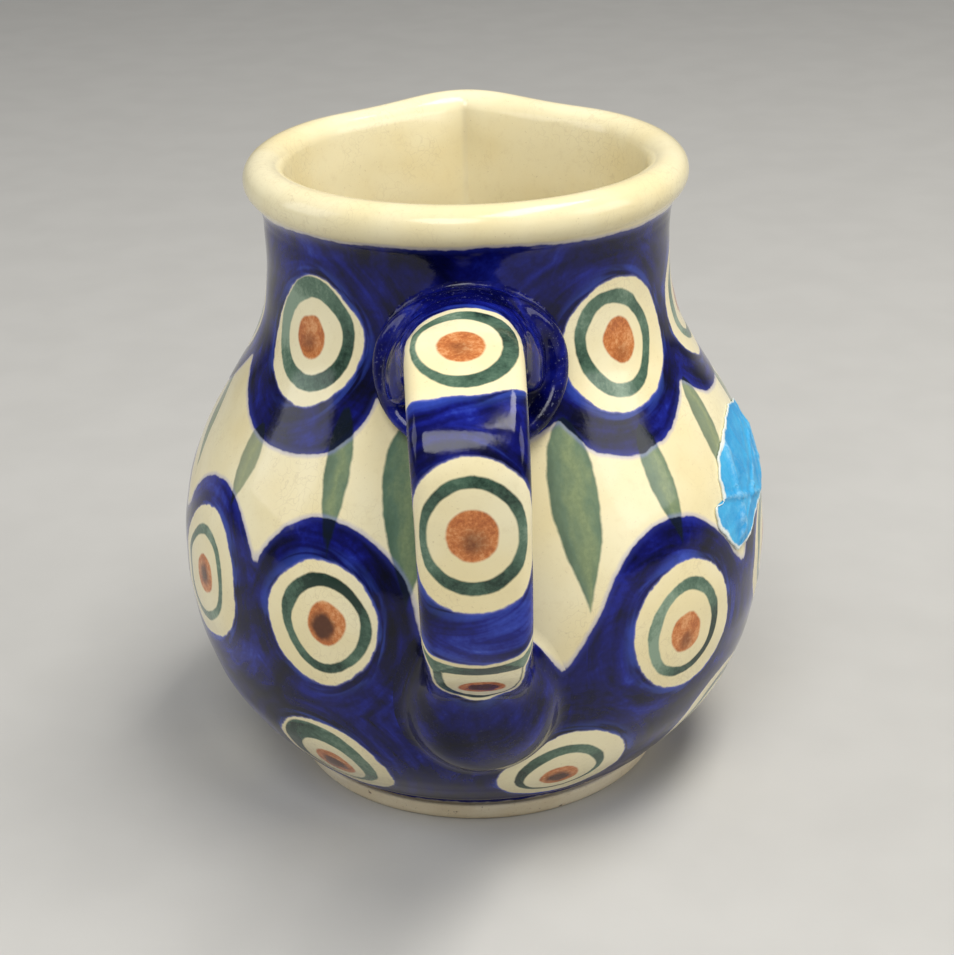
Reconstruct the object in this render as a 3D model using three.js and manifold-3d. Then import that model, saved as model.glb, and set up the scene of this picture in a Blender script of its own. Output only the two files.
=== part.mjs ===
// Small round-bellied stoneware jug with a flat strap handle and a pinched spout.
// Units are millimetres, +Z is up. The jug stands on z = 0, the handle points to -Y,
// the spout to +Y, and the origin is the bottom centre of the whole object's box.
import * as THREE from 'three';
import { mergeVertices } from 'three/addons/utils/BufferGeometryUtils.js';
import Module from 'manifold-3d';

// ---------------------------------------------------------------- driving dimensions
const AXIS_Y = 9.87;            // the pot's turning axis, measured from the origin
const GAP = 0.3;                // clearance between pieces that touch
const SEGMENTS = 60;            // facets round the pot

// Outside of the pot, as [radius, height], from the edge of the underside to the neck.
const OUTER = [
  [28.3, 3.3], [29.2, 4.2], [30.8, 6.0], [33.6, 9.0], [36.1, 12.0], [38.6, 16.0],
  [40.25, 20.0], [41.5, 24.5], [42.3, 29.5], [42.55, 34.0], [42.3, 39.0], [41.4, 44.0],
  [39.9, 48.6], [37.7, 53.2], [35.0, 57.8], [32.2, 62.4], [30.1, 66.6], [28.9, 70.6],
  [28.35, 74.5], [28.15, 79.0], [28.25, 83.0],
];
// The rolled lip is a round bead on top of the neck.
const LIP_R = 27.83;            // radius of the bead's centre line
const LIP_Z = 88.4;             // height of the bead's centre line
const LIP_BEAD = 2.88;          // radius of the bead itself
// Inside of the pot, as [radius, height], from the neck down to the floor.
const INNER = [
  [24.35, 85.0], [24.1, 80.0], [24.2, 74.0], [25.6, 66.8], [29.9, 58.0], [34.6, 50.2],
  [37.35, 43.0], [38.3, 35.8], [38.0, 28.6], [36.3, 21.5], [32.8, 14.8], [28.0, 10.8],
  [21.0, 8.7], [10.0, 8.0],
];
const FLOOR_Z = 8.0;            // top of the floor inside
const UNDERSIDE_Z = 3.3;        // underside of the pot, just above the foot ring

// Spout: the rim and neck drawn outwards over a narrow arc at +Y.
const SPOUT_OUT = 4.3;          // how far the rim is drawn outwards
const SPOUT_UP = 0.4;           // how far it is lifted
const SPOUT_ARC = 21.0;         // half-width of the drawn arc, in degrees (bell curve)
const SPOUT_FROM_Z = 66.0;      // where the neck starts to lean out

// Foot ring, as [radius, height].
const FOOT = [
  [22.4, 0.0], [26.5, 0.0], [27.15, 0.45], [27.6, 1.6], [27.9, 3.0], [21.6, 3.0], [21.6, 0.8],
];

// Handle strap: its outer face in the plane x = 0, as [distance from the axis, height].
const STRAP_FACE = [
  [33.5, 80.6], [37.0, 80.6], [41.0, 80.3], [45.8, 79.5], [50.6, 78.2], [55.2, 76.4],
  [59.1, 73.5], [61.4, 69.3], [62.0, 64.6], [62.0, 59.7], [62.0, 54.6], [61.8, 49.8],
  [60.6, 45.3], [58.0, 41.3], [54.4, 37.8], [50.6, 34.6], [46.8, 31.6], [43.8, 29.2],
];
// Strap width and thickness along its length, as [share of length, value].
const STRAP_WIDTH = [[0, 16.4], [0.10, 15.6], [0.25, 14.4], [0.5, 13.6], [0.7, 13.3], [0.8, 12.7], [0.9, 12.4], [1, 13.6]];
const STRAP_THICK = [[0, 11.0], [0.08, 9.0], [0.18, 6.2], [0.3, 5.2], [0.7, 5.0], [0.85, 5.4], [1, 6.6]];
const STRAP_STEPS = 34;
const STRAP_CORNER = 1.7;       // rounding of the strap's long edges

// Stepped collar that joins the strap's top end to the neck.
const COLLAR_Z = 70.8;          // height of its centre
const COLLAR_R = 12.0;          // its radius
const COLLAR_STEPS = [[0, 4.9], [0.5, 4.9], [0.64, 4.3], [0.72, 3.2], [0.78, 2.9], [0.84, 3.0], [0.9, 2.6], [0.95, 1.7], [1, 0.9]];

// Rounded pad that joins the strap's lower end to the belly.
const PAD_Z = 27.0;             // height of its centre
const PAD_HALF_WIDTH = 9.6;
const PAD_HALF_HEIGHT = 11.0;
const PAD_STEPS = [[0, 4.4], [0.3, 4.3], [0.55, 3.8], [0.75, 2.9], [0.9, 1.7], [1, 0.7]];

// Torn paper label on the belly: corners as [degrees round from the handle, height].
const LABEL = [
  [90.0, 55.4], [82.0, 55.2], [75.0, 55.0], [68.4, 53.8], [61.1, 51.8], [59.6, 49.2], [57.6, 46.9],
  [54.1, 46.7], [56.2, 43.0], [59.6, 39.8], [64.5, 40.8], [69.6, 41.4], [78.0, 41.2], [87.0, 41.8],
  [92.5, 44.6], [93.5, 50.2],
];
const LABEL_THICK = 0.3;

// ------------------------------------------------------------------------- helpers
const wasm = await Module();
wasm.setup();

function lerpTable(table, t) {
  for (let i = 1; i < table.length; i++) {
    if (t <= table[i][0]) {
      const [a, va] = table[i - 1], [b, vb] = table[i];
      return va + (vb - va) * (t - a) / (b - a);
    }
  }
  return table[table.length - 1][1];
}

// A closed mesh from points and triangles, turned so that its faces point out.
function closedGeometry(points, triangles) {
  let volume = 0;
  for (const [a, b, c] of triangles) {
    const [p, q, r] = [points[a], points[b], points[c]];
    volume += p.dot(new THREE.Vector3().crossVectors(q, r));
  }
  const index = [];
  for (const [a, b, c] of triangles) index.push(...(volume > 0 ? [a, b, c] : [a, c, b]));
  const g = new THREE.BufferGeometry();
  g.setAttribute('position', new THREE.Float32BufferAttribute(points.flatMap(p => [p.x, p.y, p.z]), 3));
  g.setIndex(index);
  return g;
}

function toManifold(geometry) {
  const g = geometry.clone();
  g.deleteAttribute('normal');
  g.deleteAttribute('uv');
  const m = mergeVertices(g, 1e-4);
  return new wasm.Manifold(new wasm.Mesh({
    numProp: 3,
    vertProperties: new Float32Array(m.attributes.position.array),
    triVerts: new Uint32Array(m.index.array),
  }));
}

function fromManifold(solid) {
  const m = solid.getMesh();
  const g = new THREE.BufferGeometry();
  g.setAttribute('position', new THREE.Float32BufferAttribute(m.vertProperties, 3));
  g.setIndex([...m.triVerts]);
  return g;
}

// Outer radius of the pot at a height.
const profileCurve = new THREE.CatmullRomCurve3(OUTER.map(([r, z]) => new THREE.Vector3(r, z, 0)), false, 'centripetal');
const profileSamples = profileCurve.getPoints(400);
function outerRadius(z) {
  for (let i = 1; i < profileSamples.length; i++) {
    if (z <= profileSamples[i].y) {
      const a = profileSamples[i - 1], b = profileSamples[i];
      const t = (z - a.y) / Math.max(1e-9, b.y - a.y);
      return a.x + (b.x - a.x) * Math.min(1, Math.max(0, t));
    }
  }
  return profileSamples[profileSamples.length - 1].x;
}

// How far a point of the rim or neck is drawn towards the spout.
function spoutShare(angleFromSpout, z) {
  const a = angleFromSpout * 180 / Math.PI / SPOUT_ARC;
  const rise = THREE.MathUtils.smoothstep(z, SPOUT_FROM_Z, LIP_Z);
  return Math.exp(-a * a) * rise;
}

// -------------------------------------------------------------------------- pieces
// The pot: one wall, turned round the axis, with its rim drawn out into a spout.
function vesselGeometry() {
  const profile = [[0, UNDERSIDE_Z], [14, UNDERSIDE_Z], ...OUTER];
  for (const deg of [-50, -15, 20, 55, 90, 125, 160]) {
    const a = deg * Math.PI / 180;
    profile.push([LIP_R + LIP_BEAD * Math.cos(a), LIP_Z + LIP_BEAD * Math.sin(a)]);
  }
  profile.push(...INNER, [0, FLOOR_Z]);
  const lathe = new THREE.LatheGeometry(profile.map(([r, z]) => new THREE.Vector2(r, z)), SEGMENTS);
  lathe.rotateX(Math.PI / 2);
  lathe.deleteAttribute('normal');
  lathe.deleteAttribute('uv');
  const g = mergeVertices(lathe, 1e-3);
  const p = g.attributes.position;
  for (let i = 0; i < p.count; i++) {
    const x = p.getX(i), y = p.getY(i), z = p.getZ(i);
    const r = Math.hypot(x, y);
    if (r < 1) continue;
    const s = spoutShare(Math.abs(Math.atan2(x, y)), z);
    const k = (r + SPOUT_OUT * s) / r;
    p.setXYZ(i, x * k, y * k, z + SPOUT_UP * s);
  }
  return turnedOut(g);
}

function turnedOut(g) {
  const p = g.attributes.position, idx = g.index.array;
  const points = [];
  for (let i = 0; i < p.count; i++) points.push(new THREE.Vector3(p.getX(i), p.getY(i), p.getZ(i)));
  const triangles = [];
  for (let i = 0; i < idx.length; i += 3) {
    const [a, b, c] = [idx[i], idx[i + 1], idx[i + 2]];
    if (a !== b && b !== c && a !== c) triangles.push([a, b, c]);
  }
  return closedGeometry(points, triangles);
}

function footGeometry() {
  const profile = [...FOOT, FOOT[0]].map(([r, z]) => new THREE.Vector2(r, z));
  const lathe = new THREE.LatheGeometry(profile, SEGMENTS);
  lathe.rotateX(Math.PI / 2);
  lathe.deleteAttribute('normal');
  lathe.deleteAttribute('uv');
  return turnedOut(mergeVertices(lathe, 1e-3));
}

// A raised patch that follows the pot's wall: rings of points round a centre, each with
// its own height above the wall. centreAngle is measured from the handle side, in radians.
function wallPatch(centreAngle, centreZ, outline, rings, height, base) {
  const spokes = 32;
  const points = [], triangles = [];
  const at = (u, v, lift) => {
    // u runs round the wall in millimetres, v runs up it
    const z = centreZ + v;
    const r = outerRadius(z) + lift;
    const a = centreAngle + u / outerRadius(centreZ);
    return new THREE.Vector3(r * Math.sin(a), -r * Math.cos(a), z);
  };
  const add = p => points.push(p) - 1;
  const top = [], bottom = [];
  for (const s of rings) {
    const rowTop = [], rowBottom = [];
    for (let i = 0; i < spokes; i++) {
      const psi = i / spokes * 2 * Math.PI;
      const [u, v] = outline(psi);
      rowTop.push(add(at(u * s, v * s, height(s))));
      rowBottom.push(add(at(u * s, v * s, base)));
    }
    top.push(rowTop);
    bottom.push(rowBottom);
  }
  const topCentre = add(at(0, 0, height(0))), bottomCentre = add(at(0, 0, base));
  for (let i = 0; i < spokes; i++) {
    const j = (i + 1) % spokes;
    triangles.push([topCentre, top[0][i], top[0][j]], [bottomCentre, bottom[0][j], bottom[0][i]]);
    for (let k = 1; k < rings.length; k++) {
      triangles.push([top[k - 1][i], top[k][i], top[k][j]], [top[k - 1][i], top[k][j], top[k - 1][j]]);
      triangles.push([bottom[k - 1][i], bottom[k][j], bottom[k][i]], [bottom[k - 1][i], bottom[k - 1][j], bottom[k][j]]);
    }
    const n = rings.length - 1;
    triangles.push([top[n][i], bottom[n][i], bottom[n][j]], [top[n][i], bottom[n][j], top[n][j]]);
  }
  return closedGeometry(points, triangles);
}

const oval = (halfWidth, halfHeight) => psi => [halfWidth * Math.cos(psi), halfHeight * Math.sin(psi)];
const steps = (table, extra) => s => GAP + lerpTable(table, s) + extra;

const collarRings = [0.25, 0.5, 0.64, 0.72, 0.78, 0.84, 0.9, 0.95, 1];
const padRings = [0.3, 0.55, 0.75, 0.9, 1];
const collarGeometry = () => wallPatch(0, COLLAR_Z, oval(COLLAR_R, COLLAR_R), collarRings, steps(COLLAR_STEPS, 0), GAP);
const padGeometry = () => wallPatch(0, PAD_Z, oval(PAD_HALF_WIDTH, PAD_HALF_HEIGHT), padRings, steps(PAD_STEPS, 0), GAP);

// The strap: a rounded rectangle carried along the outer face's curve, then trimmed back
// from the collar and the pad so that a small clearance stays between them.
function strapGeometry() {
  const face = new THREE.CatmullRomCurve3(STRAP_FACE.map(([d, z]) => new THREE.Vector3(0, -d, z)), false, 'centripetal');
  const points = [], triangles = [], rows = [];
  const side = new THREE.Vector3(1, 0, 0);
  for (let k = 0; k <= STRAP_STEPS; k++) {
    const t = k / STRAP_STEPS;
    const o = face.getPointAt(t);
    const tangent = face.getTangentAt(t);
    const out = new THREE.Vector3().crossVectors(tangent, side).normalize();
    const w = lerpTable(STRAP_WIDTH, t) / 2, h = lerpTable(STRAP_THICK, t);
    const c = STRAP_CORNER, d = c * 0.3;
    const section = [
      [-w + c, 0.15], [0, 0.3], [w - c, 0.15], [w - d, -d], [w, -c], [w, -h + c], [w - d, -h + d],
      [w - c, -h], [-w + c, -h], [-w + d, -h + d], [-w, -h + c], [-w, -c], [-w + d, -d],
    ];
    rows.push(section.map(([u, v]) => points.push(
      o.clone().addScaledVector(side, u).addScaledVector(out, v)) - 1));
  }
  const n = rows[0].length;
  for (let k = 1; k < rows.length; k++) {
    for (let i = 0; i < n; i++) {
      const j = (i + 1) % n;
      triangles.push([rows[k - 1][i], rows[k][i], rows[k][j]], [rows[k - 1][i], rows[k][j], rows[k - 1][j]]);
    }
  }
  for (let i = 1; i < n - 1; i++) {
    triangles.push([rows[0][0], rows[0][i], rows[0][i + 1]]);
    const e = rows[rows.length - 1];
    triangles.push([e[0], e[i + 1], e[i]]);
  }
  let strap = toManifold(closedGeometry(points, triangles));
  const deep = -6;
  const collarCut = wallPatch(0, COLLAR_Z, oval(COLLAR_R + GAP, COLLAR_R + GAP), collarRings, steps(COLLAR_STEPS, GAP), deep);
  const padCut = wallPatch(0, PAD_Z, oval(PAD_HALF_WIDTH + GAP, PAD_HALF_HEIGHT + GAP), padRings, steps(PAD_STEPS, GAP), deep);
  const wall = OUTER.map(([r, z]) => new THREE.Vector2(r + GAP + 0.1, z));
  const wallCut = new THREE.LatheGeometry([new THREE.Vector2(0, wall[0].y), ...wall, new THREE.Vector2(0, wall[wall.length - 1].y)], SEGMENTS);
  wallCut.rotateX(Math.PI / 2);
  wallCut.deleteAttribute('normal');
  wallCut.deleteAttribute('uv');
  for (const cut of [collarCut, padCut, turnedOut(mergeVertices(wallCut, 1e-3))]) strap = strap.subtract(toManifold(cut));
  // keep only the strap itself, without slivers of its ends behind the collar or the pad
  const parts = strap.decompose().sort((a, b) => b.volume() - a.volume());
  return fromManifold(parts[0]);
}

function labelGeometry() {
  const cz = LABEL.reduce((s, p) => s + p[1], 0) / LABEL.length;
  const ca = LABEL.reduce((s, p) => s + p[0], 0) / LABEL.length;
  const r = outerRadius(cz);
  const corners = LABEL.map(([a, z]) => [(a - ca) * Math.PI / 180 * r, z - cz]);
  // the outline as a distance from the middle in each direction
  const outline = psi => {
    const dx = Math.cos(psi), dy = Math.sin(psi);
    let best = 1;
    for (let i = 0; i < corners.length; i++) {
      const [ax, ay] = corners[i], [bx, by] = corners[(i + 1) % corners.length];
      const ex = bx - ax, ey = by - ay;
      const det = dx * -ey + dy * ex;
      if (Math.abs(det) < 1e-12) continue;
      const t = (ax * -ey + ay * ex) / det;
      const s = (dx * ay - dy * ax) / det;
      if (t > 0 && s >= -1e-9 && s <= 1 + 1e-9) best = Math.max(best, t);
    }
    return [dx * best, dy * best];
  };
  return wallPatch(ca * Math.PI / 180, cz, outline, [0.35, 0.7, 1], () => GAP + LABEL_THICK, GAP);
}

// ------------------------------------------------------------------------ assembly
const glazed = (color, roughness) => new THREE.MeshStandardMaterial({ color, roughness, metalness: 0 });
const jug = new THREE.Group();
jug.name = 'jug';
const pot = new THREE.Group();
pot.position.set(0, AXIS_Y, 0);
jug.add(pot);

function piece(name, geometry, material) {
  const mesh = new THREE.Mesh(geometry, material);
  mesh.name = name;
  pot.add(mesh);
}

piece('vessel_body', vesselGeometry(), glazed(0xe1d5b3, 0.18));
piece('foot_ring', footGeometry(), glazed(0xd6c7ae, 0.55));
piece('strap_handle', strapGeometry(), glazed(0x353888, 0.15));
piece('upper_handle_collar', collarGeometry(), glazed(0x1c1f5e, 0.15));
piece('lower_handle_pad', padGeometry(), glazed(0x14164f, 0.15));
piece('paper_label', labelGeometry(), glazed(0x41b3e4, 0.6));

export default jug;
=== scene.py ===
# Looks for the small stoneware jug: pot, foot ring, strap handle with its collar and pad, and a torn label.
import math
import bpy
import numpy as np
from mathutils import Matrix, Vector


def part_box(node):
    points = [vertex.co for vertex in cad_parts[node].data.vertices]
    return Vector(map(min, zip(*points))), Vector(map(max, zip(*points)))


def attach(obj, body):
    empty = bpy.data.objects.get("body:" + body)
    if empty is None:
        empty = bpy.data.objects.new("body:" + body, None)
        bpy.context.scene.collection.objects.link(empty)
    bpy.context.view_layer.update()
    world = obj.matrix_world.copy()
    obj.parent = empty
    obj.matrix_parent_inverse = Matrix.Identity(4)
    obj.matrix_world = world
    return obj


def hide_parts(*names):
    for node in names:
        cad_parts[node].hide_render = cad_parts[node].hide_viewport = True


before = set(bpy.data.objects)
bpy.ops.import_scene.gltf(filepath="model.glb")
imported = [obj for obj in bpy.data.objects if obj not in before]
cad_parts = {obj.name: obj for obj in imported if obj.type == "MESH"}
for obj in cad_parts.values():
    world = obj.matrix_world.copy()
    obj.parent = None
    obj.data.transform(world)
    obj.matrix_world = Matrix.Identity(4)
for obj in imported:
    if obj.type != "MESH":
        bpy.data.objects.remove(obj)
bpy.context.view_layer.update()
scene = bpy.context.scene
MM = 0.001

# ------------------------------------------------------------------ places taken from the frame
foot_lo, foot_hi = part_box("foot_ring")
AX = (foot_lo.x + foot_hi.x) / 2 / MM          # the pot's turning axis, in mm
AY = (foot_lo.y + foot_hi.y) / 2 / MM
body_lo, body_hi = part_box("vessel_body")
DZ = foot_lo.z / MM                             # what it stands on

# ------------------------------------------------------------------ shape tables, in mm from the axis
OUTER = [(28.3, 3.3), (29.2, 4.2), (30.8, 6.0), (33.6, 9.0), (36.1, 12.0), (38.6, 16.0), (40.25, 20.0), (41.5, 24.5),
         (42.3, 29.5), (42.55, 34.0), (42.3, 39.0), (41.4, 44.0), (39.9, 48.6), (37.7, 53.2), (35.0, 57.8), (32.2, 62.4),
         (30.1, 66.6), (28.9, 70.6), (28.35, 74.5), (28.15, 79.0), (28.25, 83.0)]
INNER = [(24.72, 86.2), (24.45, 83.2), (24.2, 79.5), (24.2, 74.0), (25.6, 66.8), (29.9, 58.0), (34.6, 50.2), (37.35, 43.0), (38.3, 35.8),
         (38.0, 28.6), (36.3, 21.5), (32.8, 14.8), (28.0, 10.8), (21.0, 8.7), (10.0, 8.0), (0.0, 7.9)]
LIP_R, LIP_Z, LIP_BEAD = 27.83, 88.4, 2.88
STRAP_FACE = [(33.5, 80.6), (37, 80.6), (41, 80.3), (45.8, 79.5), (50.6, 78.2), (55.2, 76.4), (59.1, 73.5), (61.4, 69.3),
              (62, 64.6), (62, 59.7), (62, 54.6), (61.8, 49.8), (60.6, 45.3), (58, 41.3), (54.4, 37.8), (50.6, 34.6),
              (46.8, 31.6), (43.8, 29.2)]
STRAP_WIDTH = [(0, 14.7), (.08, 14.8), (.25, 14.3), (.5, 13.7), (.7, 13.4), (.8, 12.9), (.9, 12.5), (1, 12.6)]
STRAP_THICK = [(0, 11.0), (.08, 9.0), (.18, 6.4), (.3, 5.4), (.7, 5.2), (.85, 5.5), (1, 6.6)]
COLLAR_Z, PAD_Z = 70.8, 27.0


def catmull(points, per=16):
    """A centripetal Catmull-Rom curve through the points."""
    p = np.array(points, float)
    p = np.vstack([2 * p[0] - p[1], p, 2 * p[-1] - p[-2]])
    out = []
    for i in range(1, len(p) - 2):
        a, b, c, d = p[i - 1], p[i], p[i + 1], p[i + 2]
        t0 = 0.0
        t1 = t0 + np.linalg.norm(b - a) ** .5
        t2 = t1 + np.linalg.norm(c - b) ** .5
        t3 = t2 + np.linalg.norm(d - c) ** .5
        for t in np.linspace(t1, t2, per, endpoint=False):
            a1 = (t1 - t) / (t1 - t0) * a + (t - t0) / (t1 - t0) * b
            a2 = (t2 - t) / (t2 - t1) * b + (t - t1) / (t2 - t1) * c
            a3 = (t3 - t) / (t3 - t2) * c + (t - t2) / (t3 - t2) * d
            b1 = (t2 - t) / (t2 - t0) * a1 + (t - t0) / (t2 - t0) * a2
            b2 = (t3 - t) / (t3 - t1) * a2 + (t - t1) / (t3 - t1) * a3
            out.append((t2 - t) / (t2 - t1) * b1 + (t - t1) / (t2 - t1) * b2)
    out.append(p[-2])
    return np.array(out)


def resample(line, step):
    line = np.array(line, float)
    s = np.concatenate([[0], np.cumsum(np.linalg.norm(np.diff(line, axis=0), axis=1))])
    n = max(2, int(round(s[-1] / step)) + 1)
    q = np.linspace(0, s[-1], n)
    return np.stack([np.interp(q, s, line[:, k]) for k in range(line.shape[1])], -1)


def table(rows, t):
    a = np.array(rows, float)
    return np.interp(t, a[:, 0], a[:, 1])


def smooth(a, b, x):
    t = np.clip((x - a) / (b - a), 0, 1)
    return t * t * (3 - 2 * t)


wall = catmull(OUTER, 20)                                   # outside of the wall, foot to neck
wall_s = np.concatenate([[0], np.cumsum(np.linalg.norm(np.diff(wall, axis=0), axis=1))])


def r_at(z):
    return np.interp(z, wall[:, 1], wall[:, 0])


def v_at(z):
    return np.interp(z, wall[:, 1], wall_s)


# ------------------------------------------------------------------ the painted pattern
# Angles are degrees round from the handle, heights are mm. A ring is (angle, height, radii round from +angle).
EYES = [
    ((-46.5, 71.3, [8.9, 9.0, 8.4, 8.6, 8.5, 7.9, 7.5, 7.6, 8.5, 9.4, 9.6, 9.3, 9.2, 8.9, 8.5, 8.5]),
     (-46.5, 72.1, [7.5, 7.6, 7.4, 7.6, 7.6, 7.2, 6.8, 7.0, 7.5, 7.9, 8.0, 7.9, 7.9, 7.9, 7.7, 7.5]),
     (-46.1, 71.7, [5.3, 5.5, 5.3, 5.2, 5.1, 4.8, 4.8, 4.9, 5.3, 5.6, 5.6, 5.4, 5.3, 5.1, 5.0, 5.1]),
     (-47.1, 71.4, [2.7, 2.8, 2.9, 3.1, 2.9, 2.8, 2.8, 2.7, 2.7, 2.7, 2.7, 2.9, 3.0, 3.0, 2.9, 2.8]), (.0, -.6, .4)),
    ((42.9, 70.4, [9.4, 9.0, 8.7, 8.6, 8.6, 8.6, 8.8, 9.1, 9.2, 9.7, 9.8, 9.7, 9.2, 9.1, 9.4, 9.8]),
     (41.8, 70.5, [7.0, 6.7, 6.6, 6.9, 7.1, 7.4, 7.5, 7.1, 6.8, 6.8, 7.0, 7.4, 7.5, 7.4, 7.1, 7.0]),
     (42.0, 70.5, [5.1, 4.9, 4.8, 4.9, 5.2, 5.6, 5.4, 5.3, 5.1, 4.9, 5.0, 5.5, 5.7, 5.7, 5.5, 5.3]),
     (42.9, 70.6, [2.8, 2.7, 2.8, 3.0, 3.1, 3.1, 2.9, 2.9, 2.8, 2.7, 2.7, 2.9, 3.2, 3.3, 3.2, 3.0]), (.2, -1.7, .35)),
    ((-29.2, 37.4, [8.4, 8.7, 9.0, 9.2, 9.1, 8.8, 8.4, 8.6, 8.5, 8.4, 8.5, 8.7, 8.9, 8.4, 8.1, 8.1]),
     (-28.1, 37.7, [6.9, 6.9, 6.8, 7.0, 7.2, 7.3, 7.2, 7.2, 6.9, 6.6, 6.7, 7.0, 7.1, 6.7, 6.5, 6.6]),
     (-28.2, 37.6, [5.3, 5.6, 5.6, 5.6, 5.6, 5.4, 5.2, 5.1, 5.2, 5.1, 5.2, 5.5, 5.6, 5.3, 5.1, 5.1]),
     (-27.7, 38.0, [2.9, 3.0, 3.0, 3.0, 3.2, 3.2, 3.0, 2.9, 2.9, 3.0, 3.1, 3.2, 3.2, 3.0, 2.8, 2.8]), (-.5, -.4, 1.0)),
    ((41.8, 33.1, [9.3, 9.0, 9.1, 9.4, 9.6, 9.6, 9.8, 9.7, 9.3, 8.9, 8.7, 9.0, 9.5, 10.1, 10.3, 10.0]),
     (41.5, 33.0, [7.0, 6.9, 6.9, 7.2, 7.2, 7.0, 7.0, 7.1, 7.0, 6.9, 7.0, 7.2, 7.3, 7.4, 7.3, 7.2]),
     (41.8, 32.8, [5.2, 5.0, 5.2, 5.4, 5.7, 5.7, 5.6, 5.3, 5.3, 5.4, 5.6, 5.6, 5.8, 5.8, 5.7, 5.4]),
     (41.6, 32.3, [2.9, 2.8, 2.8, 3.0, 3.0, 3.0, 3.1, 3.0, 2.9, 2.8, 2.8, 2.9, 2.9, 3.0, 3.1, 3.0]), (.1, -1.4, .45)),
    ((-63.9, 36.3, [9.6, 9.8, 10.3, 10.7, 10.3, 9.4, 8.9, 9.0, 9.4, 10.0, 10.4, 10.4, 9.4, 9.0, 9.2, 9.5]),
     (-64.6, 36.3, [6.9, 7.2, 7.5, 7.7, 7.4, 6.7, 6.3, 6.5, 6.8, 7.3, 7.7, 7.6, 7.3, 6.9, 6.8, 6.8]),
     (-64.4, 36.3, [5.7, 5.9, 6.1, 6.2, 5.9, 5.4, 5.2, 5.4, 5.7, 6.1, 6.4, 6.3, 5.9, 5.5, 5.5, 5.6]),
     (-63.3, 36.6, [2.8, 2.9, 3.0, 2.9, 2.9, 2.8, 2.6, 2.6, 2.7, 2.9, 3.1, 3.1, 3.0, 2.8, 2.8, 2.8]), (.0, .0, .8)),
    ((-33.0, 13.2, [8.4, 8.6, 8.8, 9.0, 9.0, 9.0, 9.1, 9.2, 9.2, 9.1, 9.1, 9.1, 9.0, 8.9, 8.7, 8.5]),
     (-34.0, 13.3, [6.9, 7.1, 7.4, 7.8, 8.0, 8.2, 8.1, 7.8, 7.5, 7.4, 7.4, 7.4, 7.3, 7.1, 6.9, 6.9]),
     (-34.6, 12.3, [4.9, 5.1, 5.5, 5.7, 5.7, 5.6, 5.2, 4.9, 4.8, 5.0, 5.3, 5.6, 5.6, 5.3, 5.0, 4.9]),
     (-34.0, 12.1, [3.0, 3.1, 3.3, 3.6, 3.6, 3.5, 3.3, 3.1, 3.0, 3.1, 3.3, 3.5, 3.5, 3.3, 3.1, 3.0]), (.0, .0, 1.1)),
    ((18.7, 13.4, [8.8, 8.7, 8.6, 8.6, 8.6, 8.7, 8.9, 9.3, 9.7, 9.6, 9.4, 9.3, 9.3, 9.3, 9.2, 9.0]),
     (17.5, 13.2, [6.4, 6.3, 6.3, 6.4, 6.4, 6.4, 6.5, 6.5, 6.5, 6.7, 6.8, 6.9, 7.0, 6.9, 6.8, 6.6]),
     (17.6, 12.5, [5.3, 5.1, 5.1, 5.3, 5.3, 5.1, 4.9, 4.9, 5.1, 5.3, 5.4, 5.5, 5.6, 5.6, 5.5, 5.4]),
     (17.7, 11.8, [2.8, 2.7, 2.7, 2.8, 2.9, 2.9, 3.0, 2.9, 2.9, 2.9, 2.9, 3.0, 3.1, 3.1, 3.1, 3.0]), (-.2, -.4, .9)),
]
# The same stamp round the rest of the pot, each a little different.
rng = np.random.default_rng(41)


def stamped(angle, height, size=1.0, dark=.5, push=0.0):
    ph = rng.uniform(0, 2 * math.pi, 8)
    g = np.radians(np.arange(0, 360, 22.5))
    wob = lambda k, a: 1 + a * np.sin(2 * g + ph[k]) + a * .7 * np.sin(3 * g + ph[k + 1])
    j = rng.uniform(-.5, .5, 6)
    return ((angle + j[0], height + j[1] * .8, list(9.2 * size * wob(0, .035))),
            (angle + j[2] + push, height + j[3] * .8, list(7.15 * size * wob(2, .03))),
            (angle + j[2] * .6 + push, height + j[3] * .6, list(5.35 * size * wob(4, .03))),
            (angle + j[4], height + j[5] * .9, list(2.9 * size * wob(6, .05))), (j[0], j[1] - .5, dark))


for a, h, dk in ((88, 70.0, .5), (129.8, 70.9, .9), (171.5, 70.6, .4), (-146.8, 71.0, .7), (-99.5, 70.0, .5)):
    EYES.append(stamped(a, h, 1.02, dk))
for a, h, dk in ((81, 34.2, .6), (117, 35.4, .9), (153, 34.6, .4), (-171.2, 35.6, .8), (-135.3, 34.8, .5), (-99.4, 35.7, .9)):
    EYES.append(stamped(a, h, 1.03, dk))
for a, h, dk in ((62.5, 13.0, .8), (106, 12.8, .5), (149.5, 13.3, .9), (-167, 12.8, .6), (-123.5, 13.1, .9), (-80, 13.0, .7)):
    EYES.append(stamped(a, h, 1.0, dk))

# Lower edge of the upper cobalt, and upper edge of the lower cobalt, as (angle, height).
SCALLOP_UP = [(-1, 63), (-.95, 61.2), (-.82, 59.6), (-.57, 58.2), (-.27, 57.3), (.03, 57.0), (.33, 57.3), (.6, 58.3), (.84, 59.9), (.96, 61.6)]
SCALLOP_LOW = [(-1, 42.6), (-.95, 44.6), (-.8, 46.9), (-.52, 49.0), (-.22, 50.2), (.08, 50.5), (.38, 49.9), (.66, 48.2), (.87, 45.8), (.97, 43.8)]


def scallops(shape, ends, lift=0):
    out = []
    for a, b in zip(ends[:-1], ends[1:]):
        c, h = (a + b) / 2, (b - a) / 2
        k = rng.uniform(-.5, .5)
        out += [(c + t * h, z + k * (1 - abs(t)) + lift) for t, z in shape]
    return out


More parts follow.
